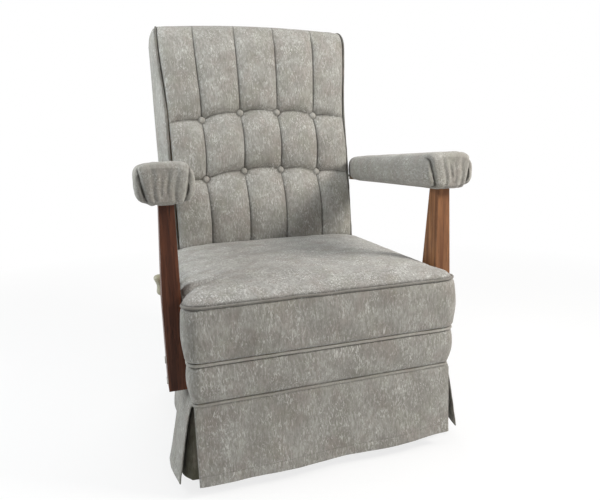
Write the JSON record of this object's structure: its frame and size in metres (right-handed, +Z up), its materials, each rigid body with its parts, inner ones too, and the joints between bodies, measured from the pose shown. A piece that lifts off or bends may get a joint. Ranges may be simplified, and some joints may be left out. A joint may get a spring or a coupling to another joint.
{
  "type": "swivel rocker chair",
  "caption": "Upholstered swivel rocker with wood arm posts, boxed seat, pleated skirt and a channelled, buttoned back.",
  "frame": {"origin": "on the floor, in the middle of the chair's overall plan", "axes": "+Z up; the chair faces -Y; the sitter's right hand, with the lock lever, is on -X"},
  "size_m": [0.7242, 0.6822, 1.0114],
  "materials": {
    "cover_fabric": "mottled greige chenille",
    "welt_fabric": "the cover fabric cut on the bias over cord",
    "pleat_lining": "the cover fabric in the shade of the pleat",
    "button_fabric": "the cover fabric over a button shell",
    "post_wood": "satin walnut-brown hardwood, straight grain",
    "frame_wood": "unfinished hardwood",
    "hardboard": "pressed fibre board",
    "deck_cloth": "woven deck cloth",
    "black_steel": "black baked enamel",
    "zinc_steel": "zinc plated",
    "bolt_steel": "zinc plated",
    "ball_steel": "polished",
    "spring_steel": "oiled spring wire",
    "bronze": "sintered bronze",
    "bush_plastic": "natural nylon",
    "glide_plastic": "black nylon",
    "bumper_rubber": "moulded rubber",
    "lever_plastic": "khaki moulded plastic"
  },
  "bodies": {
    "base": {"base_ring": "black_steel", "base_cross": "black_steel", "base_glides": "glide_plastic", "lower_race_plate": "zinc_steel", "race_plate_bolts": "bolt_steel", "bearing_balls": "ball_steel", "ball_cage": "zinc_steel", "king_bolt": "bolt_steel", "king_nut_and_washer": "bolt_steel"},
    "carriage": {"upper_race_plate": "zinc_steel", "king_bush": "bronze", "carriage_plate": "black_steel", "pivot_brackets": "black_steel", "rock_axle": "zinc_steel", "rock_axle_nuts": "bolt_steel", "rock_bumpers": "bumper_rubber", "lower_spring_cups": "black_steel", "coil_springs": "spring_steel", "lock_sector": "black_steel"},
    "seat": {"arm_boards": "frame_wood", "arm_bolts": "bolt_steel", "arm_pad_left": "cover_fabric", "arm_pad_right": "cover_fabric", "arm_post_left": "post_wood", "arm_post_right": "post_wood", "back_board": "hardboard", "back_boxing": "cover_fabric", "back_cushion": "cover_fabric", "back_rails": "frame_wood", "back_stiles": "frame_wood", "back_welts": "welt_fabric", "corner_blocks": "frame_wood", "front_band": "cover_fabric", "lever_pipe": "zinc_steel", "mechanism_bolts": "bolt_steel", "mechanism_rails": "frame_wood", "outside_back": "cover_fabric", "post_bolts": "bolt_steel", "rear_band": "cover_fabric", "rock_bushes": "bush_plastic", "rocker_plates": "black_steel", "seat_cushion": "cover_fabric", "seat_deck": "deck_cloth", "seat_front_rail": "frame_wood", "seat_rear_rail": "frame_wood", "seat_side_rails": "frame_wood", "seat_welts": "welt_fabric", "side_bands": "cover_fabric", "sinuous_springs": "spring_steel", "skirt_front": "cover_fabric", "skirt_left": "cover_fabric", "skirt_pleats": "pleat_lining", "skirt_rear": "cover_fabric", "skirt_right": "cover_fabric", "spring_clips": "zinc_steel", "tuft_buttons": "button_fabric", "upper_spring_cups": "black_steel"},
    "lever": {"lock_lever": "zinc_steel", "lever_paddle": "lever_plastic", "lock_shoe": "zinc_steel"}
  },
  "joints": [
    {"name": "swivel", "type": "hinge", "parent": "base", "child": "carriage", "pos_m": [0, -0.004, 0], "axis": [0, 0, 1], "continuous": true},
    {"name": "rock", "type": "hinge", "parent": "carriage", "child": "seat", "pos_m": [0, -0.004, 0.137], "axis": [1, 0, 0], "range_deg": [-10, 7], "stiffness_Nm_per_rad": 300, "deforming": ["coil_springs"]},
    {"name": "rock_lock", "type": "hinge", "parent": "seat", "child": "lever", "pos_m": [-0.29, -0.094, 0.215], "axis": [-1, 0, 0], "range_deg": [0, 35]}
  ]
}
